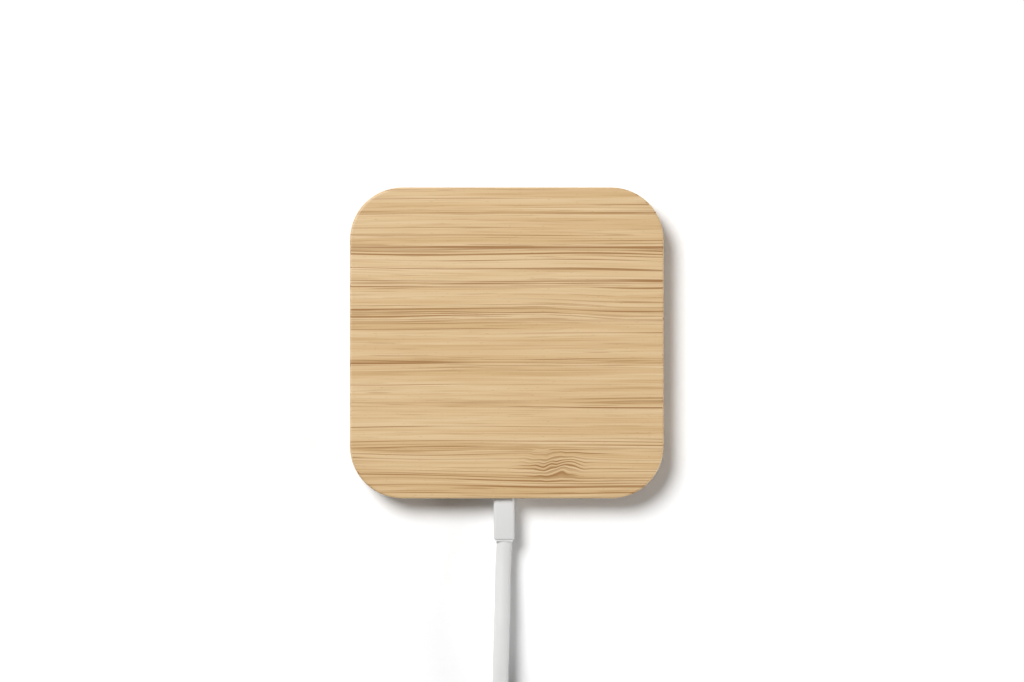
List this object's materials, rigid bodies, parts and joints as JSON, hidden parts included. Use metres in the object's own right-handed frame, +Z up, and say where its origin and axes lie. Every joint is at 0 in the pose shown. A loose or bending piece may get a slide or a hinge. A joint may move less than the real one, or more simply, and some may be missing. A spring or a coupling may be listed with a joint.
{
  "type": "wireless charging pad",
  "caption": "Flat square bamboo charging pad with rounded corners, a pale fixed cord with a moulded strain relief, and a USB-A plug.",
  "frame": {"origin": "middle of the pad outline, on the surface that its four feet stand on", "axes": "+Z up out of the charging surface, +X to the right and +Y away from the cord when seen from above; the cord leaves the case towards -Y"},
  "size_m": [0.106, 0.2512, 0.0114],
  "materials": {
    "bamboo": "satin",
    "base_abs": "satin",
    "silicone": "matte",
    "screw_steel": "satin",
    "cord_tpe": "satin",
    "relief_tpe": "satin",
    "wire_red_pvc": "satin",
    "wire_black_pvc": "satin",
    "wire_green_pvc": "satin",
    "wire_white_pvc": "satin",
    "solder": "satin",
    "litz_copper": "satin",
    "adhesive_tape": "satin",
    "ferrite": "satin",
    "foam": "matte",
    "solder_mask": "satin",
    "chip_epoxy": "matte",
    "capacitor_ceramic": "satin",
    "led_lens": "gloss",
    "clear_acrylic": "gloss",
    "tie_pvc": "satin",
    "inner_mould_pe": "satin",
    "plug_steel": "satin",
    "plug_insulator_pbt": "satin",
    "contact_gold": "polished"
  },
  "bodies": {
    "root": {"bamboo_case": "bamboo", "base_plate": "base_abs", "base_screws": "screw_steel", "foot_1": "silicone", "foot_2": "silicone", "foot_3": "silicone", "foot_4": "silicone", "strain_relief": "relief_tpe", "cable_jacket_end": "cord_tpe", "wire_red": "wire_red_pvc", "wire_black": "wire_black_pvc", "wire_green": "wire_green_pvc", "wire_white": "wire_white_pvc", "solder_joints": "solder", "coil_winding": "litz_copper", "coil_lead_inner": "litz_copper", "coil_lead_outer": "litz_copper", "coil_tape": "adhesive_tape", "ferrite_tape": "adhesive_tape", "ferrite_sheet": "ferrite", "insulating_foam": "foam", "circuit_board": "solder_mask", "controller_chip": "chip_epoxy", "bridge_transistors": "chip_epoxy", "resonant_capacitors": "capacitor_ceramic", "input_capacitors": "capacitor_ceramic", "sense_resistor": "chip_epoxy", "input_fuse": "adhesive_tape", "chip_resistors": "chip_epoxy", "chip_capacitors": "capacitor_ceramic", "coil_thermistor": "chip_epoxy", "status_led": "led_lens", "light_pipe": "clear_acrylic", "cord_run": "cord_tpe", "cord_coil": "cord_tpe", "cord_tail": "cord_tpe", "coil_ties": "tie_pvc", "plug_grip": "cord_tpe", "plug_jacket_end": "cord_tpe", "plug_inner_mould": "inner_mould_pe", "plug_wires": "wire_white_pvc", "plug_shell": "plug_steel", "plug_insulator": "plug_insulator_pbt", "plug_contacts": "contact_gold"}
  },
  "joints": []
}
